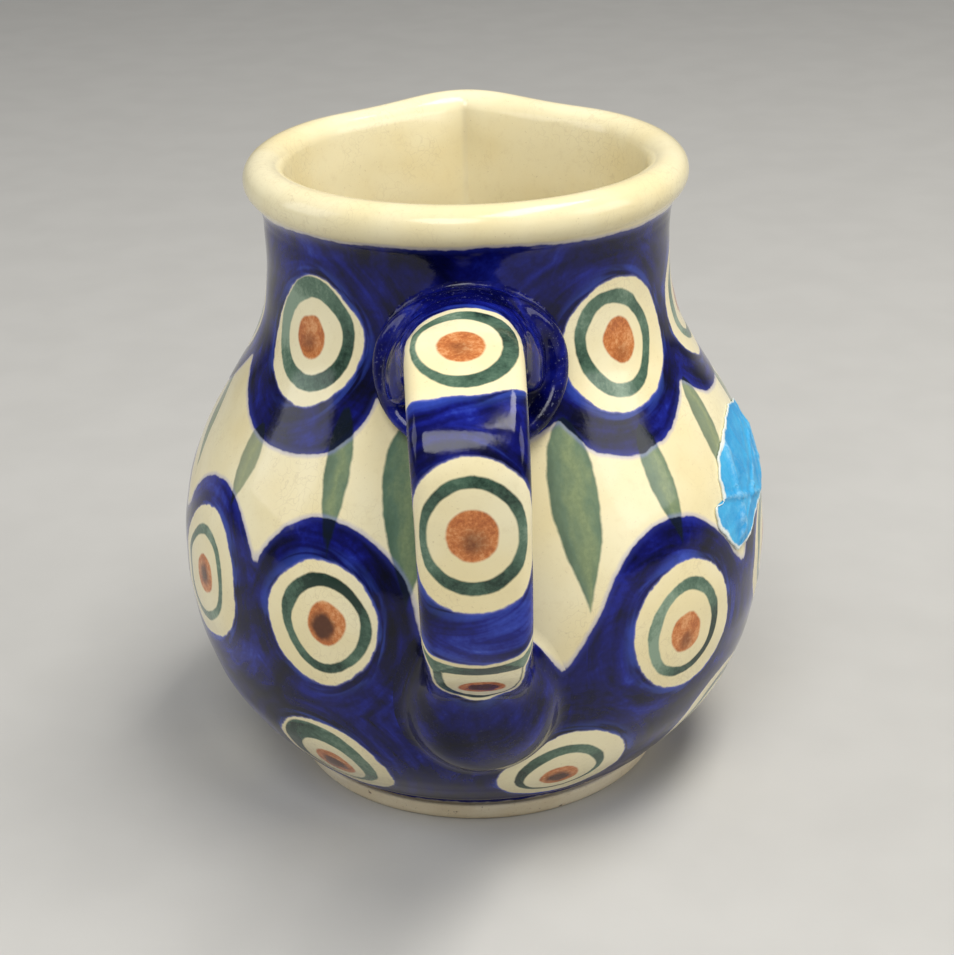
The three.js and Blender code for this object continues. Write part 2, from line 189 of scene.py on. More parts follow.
UP = scallops(SCALLOP_UP, [-209, -167.5, -126.2]) + \
    [(-126.2, 63.2), (-124.5, 61.0), (-120.0, 59.0), (-113.0, 57.6), (-105.0, 57.0), (-97.0, 57.3), (-92.5, 57.7), (-89.2, 58.5), (-84.9, 60.9), (-80.3, 63.5), (-77.8, 64.5),
     (-75.0, 63.1), (-71.7, 61.8), (-68.0, 60.6), (-63.8, 59.5), (-59.5, 58.5), (-56.6, 57.9), (-52.6, 57.4), (-48.2, 57.3), (-43.6, 57.4), (-38.9, 57.8),
     (-35.3, 58.3), (-32.6, 58.9), (-30.2, 60.0), (-28.0, 61.2), (-26.1, 62.7), (-24.6, 64.5), (-23.4, 66.0), (-21.9, 65.3), (-19.7, 64.5), (-17.4, 63.5),
     (-14.0, 62.0), (-9.0, 60.4), (-3.0, 59.7), (2.0, 59.7), (7.0, 60.1), (12.0, 61.0), (15.5, 61.7), (17.8, 62.2), (20.6, 62.7), (22.6, 61.5), (24.6, 60.3),
     (26.2, 59.3), (28.9, 58.3), (32.6, 57.5), (35.9, 57.1), (39.0, 56.9), (42.0, 57.2), (46.4, 57.5), (50.8, 58.4), (55.1, 59.7), (59.0, 61.0), (61.6, 62.3),
     (65.0, 61.5), (66.8, 60.5), (70.2, 59.3), (75.7, 58.4), (84.0, 57.9), (92.0, 57.9), (99.0, 58.7), (105.0, 60.4)] + \
    scallops(SCALLOP_UP, [109, 151, 192.5, 233.8])
LOW = scallops(SCALLOP_LOW, [-225, -189, -153.2, -117.3, -81.6]) + \
    [(-81.6, 41.6), (-79.5, 41.9), (-76.5, 43.6), (-74.4, 46.0), (-69.7, 49.1), (-65.4, 50.2), (-60.0, 50.6), (-55.9, 49.9), (-52.2, 48.4), (-49.3, 46.7), (-46.7, 44.7),
     (-45.0, 43.1), (-43.9, 44.7), (-41.7, 46.9), (-38.6, 49.1), (-35.4, 50.5), (-31.6, 51.4), (-26.6, 51.3), (-22.3, 50.6), (-18.9, 49.3), (-16.2, 48.0),
     (-13.9, 46.3), (-12.3, 44.5), (-11.4, 42.8), (-10.8, 40.6), (-10.1, 38.5), (-9.1, 37.6), (-6.5, 38.8), (-2.5, 39.7), (2.0, 39.6), (6.5, 38.3), (9.7, 36.4),
     (11.5, 35.2), (13.9, 33.2), (15.2, 32.0), (17.2, 33.5), (19.4, 35.8), (22.2, 38.9), (24.1, 41.5), (26.2, 44.0), (29.6, 46.3), (34.0, 48.0), (38.5, 48.7),
     (41.9, 48.5), (46.4, 47.7), (49.8, 46.3), (53.2, 44.1), (55.9, 41.5), (58.9, 38.6), (61.3, 37.3), (63.5, 39.5), (66.0, 43.2), (70.5, 46.8), (76.0, 48.6),
     (82.0, 49.0), (88.0, 48.2), (93.5, 46.3), (97.0, 44.6)] + \
    scallops(SCALLOP_LOW, [99, 135, 171, 206.8, 242.7])

# Leaves: top angle, height, tip angle, height, half-width, sideways bow, strength.
LEAVES = [(-55.4, 59.2, -56.0, 48.6, 2.0, .3, .75), (-31.2, 64.2, -28.6, 46.6, 1.95, .15, .95), (-15.7, 62.8, -12.3, 41.6, 3.4, .7, 1.0),
          (21.3, 63.2, 20.6, 39.7, 3.45, -.4, .95), (41.0, 60.2, 42.5, 44.6, 2.15, -.3, .95), (63.6, 62.4, 61.2, 47.5, 2.1, .4, .85),
          (88.5, 59.5, 90.0, 47.5, 2.0, .3, .85), (109.5, 62.8, 108.2, 42.5, 3.4, .5, .9), (130.5, 59.8, 131.8, 45.5, 2.1, -.3, .85), (151.2, 62.8, 152.5, 47.0, 3.3, .4, .9),
          (171.0, 59.6, 172.0, 46.0, 2.0, .2, .8), (-167.0, 62.8, -168.5, 44.0, 3.4, -.5, .95), (-146.5, 60.0, -145.8, 47.5, 2.1, .3, .85), (-126.5, 62.8, -125.6, 47.6, 3.2, .5, .9),
          (-113.0, 60.0, -112.0, 46.5, 2.0, -.3, .8), (-89.5, 61.0, -78.5, 46.8, 1.8, .3, .9)]


def wrap(a):
    return (a + 180) % 360 - 180


def ring_distance(u, v, radii):
    radii = np.array(radii, float)
    n = len(radii)
    fine = np.arange(720)
    f = np.fft.rfft(radii)
    spectrum = np.zeros(361, complex)
    spectrum[:len(f)] = f
    spectrum[len(f) - 1] *= .5
    smooth_r = np.fft.irfft(spectrum, 720) * 720 / n
    ang = np.degrees(np.arctan2(v, u)) % 360
    rho = np.hypot(u, v)
    rr = np.interp(ang, np.append(fine, 720) / 2, np.append(smooth_r, smooth_r[0]))
    dr = np.interp(ang, np.append(fine, 720) / 2, np.append(np.gradient(smooth_r), np.gradient(smooth_r)[0])) * 2 * 180 / math.pi
    return (rho - rr) / np.sqrt(1 + (dr / np.maximum(rr, .1)) ** 2)


def polyline_distance(px, py, line):
    """Unsigned distance to a polyline, worked in slices to keep memory small."""
    a, b = line[:-1], line[1:]
    d = b - a
    dd = (d ** 2).sum(1)
    best = np.empty(len(px))
    for i in range(0, len(px), 20000):
        x, y = px[i:i + 20000, None], py[i:i + 20000, None]
        t = np.clip(((x - a[:, 0]) * d[:, 0] + (y - a[:, 1]) * d[:, 1]) / dd, 0, 1)
        best[i:i + 20000] = np.sqrt(((x - a[:, 0] - t * d[:, 0]) ** 2 + (y - a[:, 1] - t * d[:, 1]) ** 2).min(1))
    return best


def inside_polygon(px, py, poly):
    inside = np.zeros(len(px), bool)
    x0, y0 = poly[:, 0], poly[:, 1]
    x1, y1 = np.roll(x0, -1), np.roll(y0, -1)
    for a, b, c, d in zip(x0, y0, x1, y1):
        if b == d:
            continue
        hit = ((b > py) != (d > py)) & (px < (c - a) * (py - b) / (d - b) + a)
        inside ^= hit
    return inside


U0 = math.pi / 180 * 36.0
up_line = catmull([(t * U0, float(v_at(z))) for t, z in UP], 5)
low_line = catmull([(t * U0, float(v_at(z))) for t, z in LOW], 5)
band = np.vstack([up_line, low_line[::-1]])


def pot_paint(theta, z):
    """Signed distances in mm, negative inside the paint, for points of the pot's outside."""
    theta, z = wrap(np.asarray(theta, float)), np.asarray(z, float)
    r, v = r_at(z), v_at(z)
    far = np.full(theta.shape, 9.0)
    out = {k: far.copy() for k in ("eye", "gout", "gin", "rust", "leaf")}
    out["core"] = far.copy()
    out["dark"] = np.zeros(theta.shape)
    out["leafx"] = np.zeros(theta.shape)
    out["leafk"] = np.zeros(theta.shape)
    for e in EYES:
        near = (np.abs(wrap(theta - e[0][0])) * math.pi / 180 * r < 16) & (np.abs(v - v_at(e[0][1])) < 16)
        if not near.any():
            continue
        for key, (tc, zc, radii) in zip(("eye", "gout", "gin", "rust"), e[:4]):
            u = np.radians(wrap(theta[near] - tc)) * r[near]
            d = ring_distance(u, v[near] - v_at(zc), radii)
            out[key][near] = np.minimum(out[key][near], d)
        tc, zc, _ = e[3]
        u = np.radians(wrap(theta[near] - tc)) * r[near] - e[4][0]
        core = np.hypot(u, v[near] - v_at(zc) - e[4][1])
        closer = core < out["core"][near]
        idx = np.where(near)[0][closer]
        out["core"][idx] = core[closer]
        out["dark"][idx] = e[4][2]
    for ta, za, tb, zb, hw, bow, strength in LEAVES:
        va, vb = v_at(za), v_at(zb)
        t = (va - v) / (va - vb)
        near = (t > -.15) & (t < 1.15) & (np.abs(wrap(theta - (ta + tb) / 2)) * U0 < 14)
        if not near.any():
            continue
        tt = np.clip(t[near], 0, 1)
        mid = ta + (tb - ta) * tt
        across = np.radians(wrap(theta[near] - mid)) * r[near] - bow * np.sin(math.pi * tt)
        half = hw * np.interp(tt, [0, .05, .13, .28, .48, .65, .8, .91, 1], [.12, .42, .72, .95, 1, .8, .45, .17, .02])
        d = (np.abs(across) - half) * .92
        d = np.maximum(d, np.maximum(-t[near], t[near] - 1) * (va - vb))
        closer = d < out["leaf"][near]
        idx = np.where(near)[0][closer]
        out["leaf"][idx] = d[closer]
        out["leafx"][idx] = (across / np.maximum(half, .3))[closer]
        out["leafk"][idx] = strength
    px, py = theta * U0, v
    d_up, d_low = polyline_distance(px, py, up_line), polyline_distance(px, py, low_line)
    d = np.minimum(d_up, d_low)
    out["blue"] = np.where(inside_polygon(px, py, band), d, -d)
    rim = 84.8 + np.interp(theta, [-180, -100, -60, -35, -17, 0, 20, 48, 90, 180], [.4, .6, .88, .86, .78, .42, .18, .3, .3, .4]) + .75 * np.exp(-(theta / 38) ** 2) + .22 * np.sin(np.radians(theta * 3 + 40)) + .14 * np.sin(np.radians(theta * 7 + 10)) + .09 * np.sin(np.radians(theta * 13))
    out["blue"] = np.maximum(out["blue"], z - rim)
    out["blue"] = np.maximum(out["blue"], 3.15 - z)
    return out


FIELDS = ("blue", "eye", "gout", "gin", "rust", "core", "dark", "leaf", "leafx", "leafk")


# ------------------------------------------------------------------ mesh helpers
def make_object(name, verts_mm, faces, fields=None, material=None, smooth_shade=True):
    verts = np.asarray(verts_mm, float) * MM
    verts[:, 0] += AX * MM
    verts[:, 1] += AY * MM
    verts[:, 2] += DZ * MM
    me = bpy.data.meshes.new(name)
    me.from_pydata(verts.tolist(), [], faces if isinstance(faces, list) else faces.tolist())
    me.validate()
    me.update()
    if fields:
        for k, values in fields.items():
            a = me.attributes.new(k, "FLOAT", "POINT")
            a.data.foreach_set("value", np.asarray(values, np.float32))
    if smooth_shade:
        me.polygons.foreach_set("use_smooth", [True] * len(me.polygons))
    ob = bpy.data.objects.new(name, me)
    scene.collection.objects.link(ob)
    if material:
        me.materials.append(material)
    return ob


def revolve(profile, columns, shift=None):
    """Turns a profile round the axis. It starts and ends on the axis; its first and last points become poles."""
    prof = np.array(profile, float)
    th = np.radians(np.arange(columns) * 360 / columns)      # degrees round from the handle
    rows = prof[1:-1]
    n = len(rows)
    R = np.repeat(rows[:, 0][:, None], columns, 1)
    Z = np.repeat(rows[:, 1][:, None], columns, 1)
    T = np.repeat(th[None], n, 0)
    if shift is not None:
        R, Z = shift(R, Z, T, rows)
    X, Y = R * np.sin(T), -R * np.cos(T)
    verts = np.stack([X, Y, Z], -1).reshape(-1, 3)
    verts = np.vstack([verts, [0, 0, prof[0, 1]], [0, 0, prof[-1, 1]]])
    i, j = np.meshgrid(np.arange(n - 1), np.arange(columns), indexing="ij")
    k = (j + 1) % columns
    quads = np.stack([i * columns + j, i * columns + k, (i + 1) * columns + k, (i + 1) * columns + j], -1).reshape(-1, 4)
    faces = quads.tolist()
    south, north = n * columns, n * columns + 1
    for c in range(columns):
        d = (c + 1) % columns
        faces.append([south, d, c])
        faces.append([north, (n - 1) * columns + c, (n - 1) * columns + d])
    return verts, faces, np.degrees(T), rows, n


# ------------------------------------------------------------------ materials
def lin(r, g, b):
    f = lambda c: (c / 255) / 12.92 if c / 255 <= .04045 else ((c / 255 + .055) / 1.055) ** 2.4
    return (f(r), f(g), f(b), 1.0)


class Nodes:
    def __init__(self, name):
        self.mat = bpy.data.materials.new(name)
        self.mat.use_nodes = True
        self.t = self.mat.node_tree
        for n in list(self.t.nodes):
            self.t.nodes.remove(n)
        self.out = self.t.nodes.new("ShaderNodeOutputMaterial")
        self.bsdf = self.t.nodes.new("ShaderNodeBsdfPrincipled")
        self.t.links.new(self.bsdf.outputs[0], self.out.inputs["Surface"])
        self.coord = self.t.nodes.new("ShaderNodeTexCoord").outputs["Object"]

    def put(self, socket, value):
        if isinstance(value, bpy.types.NodeSocket):
            self.t.links.new(value, socket)
        else:
            socket.default_value = value

    def attr(self, name):
        n = self.t.nodes.new("ShaderNodeAttribute")
        n.attribute_name = name
        return n.outputs["Fac"]

    def noise(self, scale, detail=2.0, rough=.5, distortion=0.0, vector=None, color=False):
        n = self.t.nodes.new("ShaderNodeTexNoise")
        self.put(n.inputs["Vector"], vector or self.coord)
        n.inputs["Scale"].default_value = scale
        n.inputs["Detail"].default_value = detail
        n.inputs["Roughness"].default_value = rough
        n.inputs["Distortion"].default_value = distortion
        return n.outputs["Color"] if color else n.outputs["Fac"]

    def shifted(self, offset, scale=(1, 1, 1)):
        n = self.t.nodes.new("ShaderNodeMapping")
        self.put(n.inputs["Vector"], self.coord)
        n.inputs["Location"].default_value = offset
        n.inputs["Scale"].default_value = scale
        return n.outputs[0]

    def math(self, op, a, b=0.0, c=0.0, clamp=False):
        n = self.t.nodes.new("ShaderNodeMath")
        n.operation = op
        n.use_clamp = clamp
        self.put(n.inputs[0], a)
        self.put(n.inputs[1], b)
        self.put(n.inputs[2], c)
        return n.outputs[0]

    def ramp(self, x, a, b, lo=0.0, hi=1.0, smooth_step=True):
        n = self.t.nodes.new("ShaderNodeMapRange")
        n.interpolation_type = "SMOOTHSTEP" if smooth_step else "LINEAR"
        self.put(n.inputs["Value"], x)
        n.inputs["From Min"].default_value = a
        n.inputs["From Max"].default_value = b
        n.inputs["To Min"].default_value = lo
        n.inputs["To Max"].default_value = hi
        return n.outputs["Result"]

    def mix(self, f, a, b, mode="MIX"):
        n = self.t.nodes.new("ShaderNodeMix")
        n.data_type = "RGBA"
        n.blend_type = mode
        self.put(n.inputs[0], f)
        self.put(n.inputs[6], a)
        self.put(n.inputs[7], b)
        return n.outputs[2]

    def colors(self, f, stops):
        n = self.t.nodes.new("ShaderNodeValToRGB")
        self.put(n.inputs[0], f)
        e = n.color_ramp.elements
        e[0].position, e[0].color = stops[0]
        e[1].position, e[1].color = stops[-1]
        for p, c in stops[1:-1]:
            x = e.new(p)
            x.color = c
        return n.outputs[0]

    def arcs(self, attr_name, pitch, slow):
        """Coordinates for brush strokes that run round a painted shape: quick across, slow along."""
        c = self.t.nodes.new("ShaderNodeCombineXYZ")
        self.put(c.inputs[0], self.math("MULTIPLY", self.attr(attr_name), pitch))
        v = self.t.nodes.new("ShaderNodeVectorMath")
        v.operation = "ADD"
        self.put(v.inputs[0], self.shifted((0, 0, 0), (slow, slow, slow)))
        self.put(v.inputs[1], c.outputs[0])
        return v.outputs[0]

    def edge_cells(self, scale, vector=None):
        n = self.t.nodes.new("ShaderNodeTexVoronoi")
        n.feature = "DISTANCE_TO_EDGE"
        self.put(n.inputs["Vector"], vector or self.coord)
        n.inputs["Scale"].default_value = scale
        return n.outputs["Distance"]

    def bump(self, height, distance, strength=1.0, normal=None):
        n = self.t.nodes.new("ShaderNodeBump")
        n.inputs["Strength"].default_value = strength
        n.inputs["Distance"].default_value = distance
        self.put(n.inputs["Height"], height)
        if normal:
            self.put(n.inputs["Normal"], normal)
        return n.outputs[0]

    def finish(self, color, rough, normal=None, **constants):
        self.put(self.bsdf.inputs["Base Color"], color)
        self.put(self.bsdf.inputs["Roughness"], rough)
        if normal:
            self.put(self.bsdf.inputs["Normal"], normal)
        for k, v in constants.items():
            self.bsdf.inputs[k.replace("_", " ")].default_value = v
        return self.mat


def cream_layers(m, warm=(238, 223, 174), pale=(245, 235, 196)):
    """Cream slip under clear glaze: slow colour drift, fine flecks and faint crazing."""
    drift = m.noise(45, 3, .55)
    col = m.mix(m.ramp(drift, .35, .65), lin(*warm), lin(*pale))
    fleck = m.noise(2600, 2, .6)
    col = m.mix(m.ramp(fleck, .66, .74, 0, .30), col, lin(186, 164, 120))
    cloud = m.noise(700, 3, .7)
    col = m.mix(m.ramp(cloud, .5, .75, 0, .16), col, lin(214, 196, 150))
    bend = m.mix(.012, m.coord, m.noise(260, 2, .5, color=True))
    craze = m.edge_cells(420, bend)
    where = m.ramp(m.noise(70, 2, .5), .45, .62)
    line = m.math("MULTIPLY", m.ramp(craze, .008, .05, 1, 0), where)
    col = m.mix(m.math("MULTIPLY", line, .15), col, lin(168, 146, 108))
    return col, line


def glaze(name, painted=True, blue_only=False, pitting_and_glint=0.0, seed=0.0, painted_shade=0.0):
    m = Nodes(name)
    cream, line = cream_layers(m)
    wob = m.noise(150, 2, .5, vector=m.shifted((seed, .3, .1)))
    wob2 = m.noise(420, 2, .5, vector=m.shifted((.2, seed, .4)))
    grain = m.noise(1500, 3, .7, vector=m.shifted((.5, .1, seed)))
    fine = m.noise(3600, 2, .6)
    w = m.math("ADD", m.math("MULTIPLY", m.math("SUBTRACT", wob, .5), 1.1), m.math("MULTIPLY", m.math("SUBTRACT", wob2, .5), .8))
    soft = m.math("ADD", m.math("MULTIPLY", m.math("SUBTRACT", grain, .5), .22), m.math("MULTIPLY", m.math("SUBTRACT", m.noise(820, 2, .5, vector=m.shifted((.6, .4, seed))), .5), .62))
    w = m.math("ADD", w, soft)

    def inside(attr, feather, amount=1.0, offset=0.0):
        d = m.math("ADD", m.attr(attr), m.math("MULTIPLY", w, amount))
        return m.ramp(m.math("ADD", d, offset), -feather, feather, 1, 0)

    # cobalt: brush strokes round the eyes, dark pools, thin sponged spots
    pool = m.noise(46, 2, .5, .4, vector=m.shifted((.1, seed, .5)))
    patch = m.noise(120, 4, .62, .6, vector=m.shifted((seed, .7, .2)))
    stroke = m.noise(1.0, 2, .55, .3, vector=m.arcs("eye", .62, 125))
    mott = m.math("ADD", m.math("MULTIPLY", patch, .42), m.math("MULTIPLY", stroke, .28))
    mott = m.math("ADD", mott, m.math("MULTIPLY", pool, .22))
    mott = m.math("ADD", mott, m.math("MULTIPLY", grain, .08))
    # the cobalt ramp is moved darker here as painted shade: a little on the whole pot, more on the low pad, none on
    # the strap and collar
    blue = m.colors(mott, [(p + painted_shade, c) for p, c in ((.38, lin(2, 3, 26)), (.45, lin(4, 6, 56)), (.51, lin(9, 13, 92)), (.57, lin(20, 30, 130)), (.64, lin(46, 66, 172)), (.72, lin(92, 116, 204)))])
    near_eye = m.math("MULTIPLY", m.ramp(m.attr("eye"), .1, 2.4, 1, 0), m.ramp(stroke, .46, .62))
    blue = m.mix(m.math("MULTIPLY", near_eye, .42), blue, lin(66, 96, 190))
    if not painted:
        cream = blue
    blue_in = m.attr("blue")
    edge = m.ramp(blue_in, -1.1, -.05, 0, 1)
    if painted:
        blue = m.mix(m.math("MULTIPLY", edge, .38), blue, lin(52, 62, 160))
    leaf_m = inside("leaf", .22, .35)
    leaf_x = m.attr("leafx")
    streak = m.noise(260, 3, .6, vector=m.shifted((.3, .3, seed), (1.6, 1.6, .35)))
    lx = m.math("ADD", leaf_x, m.math("MULTIPLY", m.math("SUBTRACT", streak, .5), 2.2))
    leaf = m.colors(m.ramp(lx, -1.4, 1.4, smooth_step=False), [(0, lin(62, 90, 77)), (.3, lin(98, 124, 102)), (.58, lin(131, 148, 108)), (.8, lin(102, 128, 103)), (1, lin(76, 106, 91))])
    leaf = m.mix(m.ramp(grain, .35, .65, 0, .35), leaf, lin(88, 112, 86))
    col = cream
    if painted:
        col = m.mix(m.math("MULTIPLY", leaf_m, m.attr("leafk")), col, leaf)
        fringe = m.math("MULTIPLY", m.ramp(m.math("ADD", blue_in, m.math("MULTIPLY", w, .4)), .1, .75, 1, 0), .42)
        col = m.mix(fringe, col, lin(142, 146, 205))
        blue_leaf = m.mix(m.math("MULTIPLY", leaf_m, .9), blue, lin(10, 22, 30))
        col = m.mix(inside("blue", .16, .52), col, blue_leaf)
        ring_fringe = m.ramp(m.math("ADD", m.attr("eye"), m.math("MULTIPLY", w, .5)), -.05, .38, 1, 0)
        col = m.mix(m.math("MULTIPLY", ring_fringe, .55), col, lin(136, 140, 204))
        eye_m = inside("eye", .14, .6)
        col = m.mix(eye_m, col, cream)
        wash = m.noise(85, 2, .5, .3, vector=m.shifted((.35, seed, .7)))
        tone = m.math("ADD", m.math("MULTIPLY", wash, .78), m.math("MULTIPLY", grain, .22))
        tone = m.math("SUBTRACT", tone, m.math("MULTIPLY", m.math("SUBTRACT", m.attr("dark"), .6), .10))
        green_d = m.colors(tone,
                           [(.38, lin(38, 58, 48)), (.47, lin(72, 99, 82)), (.54, lin(94, 121, 101)), (.64, lin(138, 160, 138))])
        g_in = m.math("MULTIPLY", inside("gout", .16, .32), m.math("SUBTRACT", 1.0, inside("gin", .16, .28)))
        col = m.mix(g_in, col, green_d)
        core = m.math("SUBTRACT", m.ramp(m.attr("core"), .3, 3.0, 1, 0), m.math("MULTIPLY", m.math("SUBTRACT", wob2, .5), .9))
        dark = m.math("MULTIPLY", core, m.attr("dark"))
        speck = m.noise(1900, 2, .7, vector=m.shifted((seed, .6, .8)))
        rust = m.colors(m.math("ADD", m.math("MULTIPLY", speck, .55), m.math("MULTIPLY", wob2, .45)),
                        [(.36, lin(172, 90, 42)), (.5, lin(202, 120, 62)), (.64, lin(224, 158, 104))])
        rust = m.mix(m.ramp(dark, .08, .8, 0, .96), rust, lin(72, 26, 12))
        col = m.mix(m.math("MULTIPLY", inside("rust", .2, .3), .97), col, rust)
    if pitting_and_glint:
        # tiny pits and pinholes where the glaze is thick, mixed in a lighter grey that is partly painted glints off
        # the pinholes
        pits_and_glints = m.ramp(m.noise(2300, 3, .8, vector=m.shifted((.4, .2, seed))), .60, .70)
        col = m.mix(m.math("MULTIPLY", pits_and_glints, pitting_and_glint), col, lin(120, 124, 150))
    # glaze surface: soft throwing waves, slight orange peel, fine grain that is stronger on pitted pieces
    h = m.math("ADD", m.math("MULTIPLY", m.noise(55, 2, .5), 1.0), m.math("MULTIPLY", m.noise(520, 2, .5), .12))
    n1 = m.bump(h, .00022, .55)
    n2 = m.bump(m.noise(1500, 2, .6), .00002, .35 + pitting_and_glint, n1)
    rough = m.ramp(m.math("ADD", m.math("MULTIPLY", wob2, .5), m.math("MULTIPLY", grain, .5)), .3, .7, .07, .17)
    return m.finish(col, rough, n2, IOR=1.46, Specular_IOR_Level=.36)


def clay(name):
    m = Nodes(name)
    body = m.mix(m.ramp(m.noise(90, 4, .6), .35, .68), lin(226, 210, 176), lin(238, 226, 198))
    sand = m.noise(2200, 3, .75)
    body = m.mix(m.ramp(sand, .58, .72, 0, .5), body, lin(188, 160, 118))
    iron = m.noise(900, 1, .4, vector=m.shifted((.2, .7, .1)))
    body = m.mix(m.ramp(iron, .74, .78, 0, .8), body, lin(110, 74, 46))
    scuff = m.noise(240, 4, .7, 1.4)
    body = m.mix(m.ramp(scuff, .6, .78, 0, .35), body, lin(150, 136, 116))
    n = m.bump(m.math("ADD", sand, m.math("MULTIPLY", scuff, .6)), .00012, .5)
    return m.finish(body, m.ramp(sand, .3, .7, .42, .68), n)


def paper(name):
    m = Nodes(name)
    fibre = m.noise(1700, 4, .7, .8)
    tone = m.noise(210, 3, .6)
    body = m.mix(m.ramp(tone, .35, .68), lin(30, 152, 214), lin(62, 178, 230))
    body = m.mix(m.ramp(fibre, .4, .75, 0, .3), body, lin(140, 208, 240))
    # paler on the raised ridges of the label
    paler_on_ridges = m.math("MULTIPLY", m.ramp(m.attr("ridge"), .35, .9), m.ramp(m.noise(800, 3, .7), .4, .65))
    body = m.mix(m.math("MULTIPLY", paler_on_ridges, .42), body, lin(170, 218, 240))
    torn = m.math("ADD", m.attr("tear"), m.math("MULTIPLY", m.math("SUBTRACT", m.noise(600, 3, .7), .5), .7))
    body = m.mix(m.ramp(torn, .0, .35, 1, 0), body, lin(226, 234, 228))
    n = m.bump(m.math("ADD", fibre, m.math("MULTIPLY", m.noise(330, 3, .6, 1.0), 1.5)), .00010, .5)
    return m.finish(body, m.ramp(fibre, .3, .7, .38, .55), n)


# ------------------------------------------------------------------ pot
SPOUT_OUT, SPOUT_UP, SPOUT_ARC, SPOUT_FROM_Z = 4.5, .4, 16.8, 66.0


def lip_points():
    a = np.radians(np.concatenate([np.linspace(-52, 20, 14), np.linspace(26, 150, 26), np.linspace(155, 171, 4)]))
    return [(LIP_R + LIP_BEAD * math.cos(t), LIP_Z + LIP_BEAD * math.sin(t)) for t in a]


def pot_profile():
    cove = [(0, 2.9), (9, 2.9), (18, 2.9), (24, 2.92), (26.6, 2.95), (27.3, 3.05), (27.35, 3.5), (27.75, 4.3), (28.6, 5.0), (29.7, 5.4), (30.45, 5.6), (30.85, 5.95), (31.1, 6.3)]
    rise = [p for p in OUTER if p[1] > 8]
    outer = resample(catmull(cove[5:] + rise[:1], 6), .38)[:-1]
    body = resample(catmull(rise, 20), .46)
    neck = resample(catmull([rise[-1], (28.55, 84.4), (29.0, 85.3)] + [(LIP_R + LIP_BEAD * math.cos(math.radians(-52)), LIP_Z + LIP_BEAD * math.sin(math.radians(-52)))], 8), .3)[1:-1]
    lip = resample(lip_points(), .42)
    inner = resample(catmull([lip_points()[-1]] + INNER[:-1], 14), 1.5)[1:]
    flat = [(6, 7.95), (3, 7.92)]
    rows = np.vstack([[(r, z) for r, z in cove[1:5]], outer, body, neck, lip, inner, flat])
    k_outer = 4 + len(outer) + len(body) + len(neck)
    return np.vstack([[0, 2.9], rows, [0, 7.9]]), k_outer, k_outer + len(lip)


profile, n_outer, n_lip = pot_profile()
inner_from = n_lip


def pot_shift(R, Z, T, rows):
    th = np.degrees(T)
    a = wrap(th - 180)
    rise = smooth(SPOUT_FROM_Z, LIP_Z, Z)
    rowid = np.arange(len(rows))[:, None]
    bell = np.exp(-(a / SPOUT_ARC) ** 2)
    cusp = .36 * np.exp(-(a / SPOUT_ARC) ** 2) + .66 * np.exp(-np.abs(a) / 8.5)
    inside = smooth(n_outer + (n_lip - n_outer) * .62, n_lip + 5, rowid * np.ones_like(R))
    throat = smooth(54, 86, Z)
    R2 = R + SPOUT_OUT * (bell * (1 - inside) * rise + cusp * inside * throat)
    Z2 = Z + SPOUT_UP * bell * rise
    # the neck is squeezed in a little beside the pulled spout
    R2 = R2 - .45 * np.exp(-((np.abs(a) - 33) / 12) ** 2) * rise
    # hand-thrown unevenness, none near the handle
    away = 1 - np.exp(-(wrap(th) / 42) ** 4)
    wave = .10 * np.sin(np.radians(2 * th) + 1.1) + .06 * np.sin(np.radians(3 * th) + Z * .05) + .035 * np.sin(Z * .9 + np.radians(th) * 1.0)
    return R2 + wave * away * smooth(7, 14, Z), Z2


POT_COLUMNS = 316
verts, faces, T, rows, n_rows = revolve(profile, POT_COLUMNS, pot_shift)
theta = T.reshape(-1)
zz = np.repeat(rows[:, 1], POT_COLUMNS)
outside = np.repeat(np.arange(n_rows) < n_outer + 6, POT_COLUMNS)
fields = {k: np.full(len(verts), 9.0) for k in FIELDS}
for k in ("dark", "leafx", "leafk"):
    fields[k][:] = 0
paint = pot_paint(theta[outside], np.minimum(zz[outside], 90))
for k in FIELDS:
    f = fields[k][:len(theta)]
    f[outside] = paint[k]
    fields[k][:len(theta)] = f
fields["blue"][:4 * POT_COLUMNS] = 9.0                        # the underside is left clear
# the pot's cobalt is set a little darker as painted shade
pot_mat = glaze("vessel_glaze_paint", seed=.0, painted_shade=.012)
pot = make_object("pot", verts, faces, fields, pot_mat)
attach(pot, "root")
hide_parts("vessel_body")

# ------------------------------------------------------------------ foot ring
ring_line = catmull([(22.3, .15), (22.7, 0), (24.4, 0), (26.2, 0), (26.75, .12), (27.1, .45), (27.4, 1.0), (27.62, 1.7), (27.8, 2.4), (27.75, 2.85), (27.3, 3.0),
                     (25, 3.0), (22.6, 3.0), (21.9, 2.7), (21.75, 1.7), (21.9, .7), (22.3, .15)], 4)[:-1]
cols = 288
th = np.radians(np.arange(cols) * 360 / cols)
m_ = len(ring_line)
rr = ring_line[:, 0][:, None] + .05 * np.sin(3 * th + .4)[None] + .03 * np.sin(7 * th)[None]
zz_ = np.repeat(ring_line[:, 1][:, None], cols, 1)
fv = np.stack([rr * np.sin(th), -rr * np.cos(th), np.maximum(zz_, 0)], -1).reshape(-1, 3)
i, j = np.meshgrid(np.arange(m_), np.arange(cols), indexing="ij")
i2, j2 = (i + 1) % m_, (j + 1) % cols
ff = np.stack([i * cols + j, i * cols + j2, i2 * cols + j2, i2 * cols + j], -1).reshape(-1, 4)
foot = make_object("foot", fv, ff, None, clay("foot_dry_clay"))
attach(foot, "root")
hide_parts("foot_ring")

# ------------------------------------------------------------------ handle, one field cut into its three pieces
GR = .25
gr, gz = np.arange(20, 67, GR), np.arange(8, 92, GR)
GRR, GZZ = np.meshgrid(gr, gz, indexing="ij")


